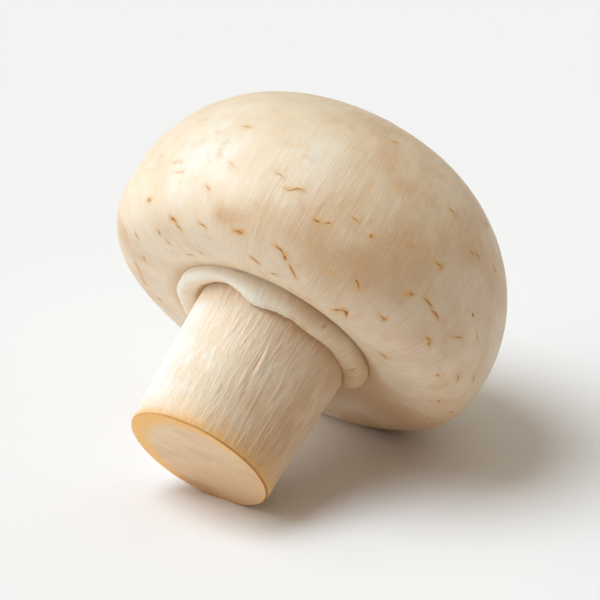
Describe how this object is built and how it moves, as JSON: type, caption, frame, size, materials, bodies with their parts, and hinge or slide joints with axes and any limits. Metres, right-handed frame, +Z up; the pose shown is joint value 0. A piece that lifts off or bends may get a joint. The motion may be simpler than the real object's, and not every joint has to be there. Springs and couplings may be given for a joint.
{
  "type": "button mushroom",
  "caption": "Closed white button mushroom lying on its side: a domed cap with a rolled lip, a soft veil ring round the neck and a short stem with a clean cut end.",
  "frame": {"origin": "middle of the mushroom's footprint on the table, at table height: the bottom centre of its bounding box as it lies", "axes": "+Z up from the table; the stem points towards -Y and slopes down to the table by about 33 degrees, the cap's top points towards +Y and up; +X to the right for someone who looks along +Y"},
  "size_m": [0.048, 0.0482, 0.0447],
  "materials": {
    "cap_skin": "creamy white, finely silky along lines from the top to the lip, softly mottled beige, with a few short orange-brown flecks; satin to matt",
    "stem_flesh": "cream, matt, with fine fibrous ridges along its length; the cut end is flat, tan-beige and edged with an orange-brown rim",
    "ring_veil": "pale cream, smooth and matt, with faint fine fibres across the roll"
  },
  "bodies": {
    "root": {"cap": "cap_skin", "stem": "stem_flesh", "ring": "ring_veil"}
  },
  "joints": []
}
